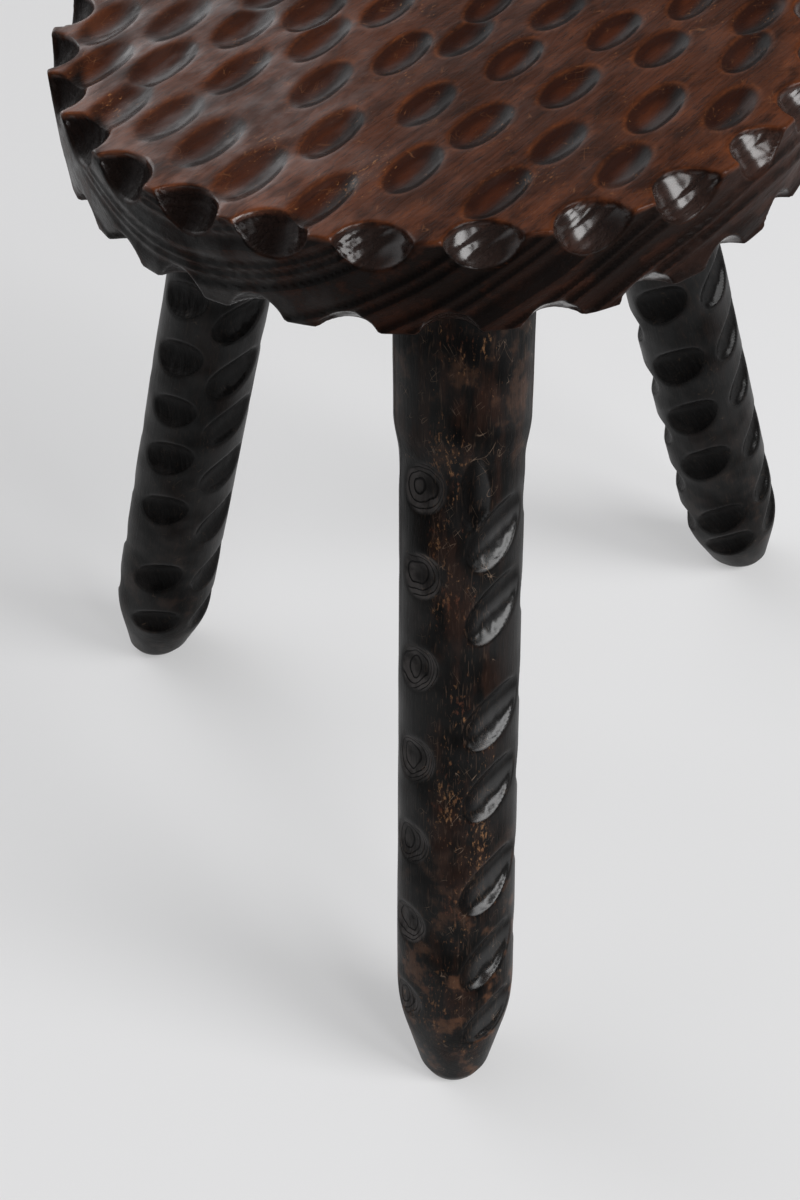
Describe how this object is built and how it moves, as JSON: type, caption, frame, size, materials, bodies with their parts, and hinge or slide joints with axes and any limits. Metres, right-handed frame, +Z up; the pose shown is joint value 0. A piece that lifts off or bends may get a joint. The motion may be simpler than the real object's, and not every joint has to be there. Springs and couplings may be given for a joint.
{
  "type": "stool",
  "caption": "Round stool: a thick dimpled slab seat with a scalloped rim, on splayed round legs tenoned into its underside.",
  "frame": {"origin": "centre of the stool's bounding box in plan, on the floor plane under the feet", "axes": "+Z up; -Y towards the front leg, which stands nearest the viewer; +X to the viewer's right"},
  "size_m": [0.3823, 0.3714, 0.424],
  "materials": {
    "seat_wood": "dark reddish-brown hardwood, waxed and worn lighter on the ridges",
    "leg_wood": "black-brown hardwood with a low polish and tan wear flecks"
  },
  "bodies": {
    "root": {"seat": "seat_wood", "leg_front": "leg_wood", "leg_left": "leg_wood", "leg_right": "leg_wood"}
  },
  "joints": []
}
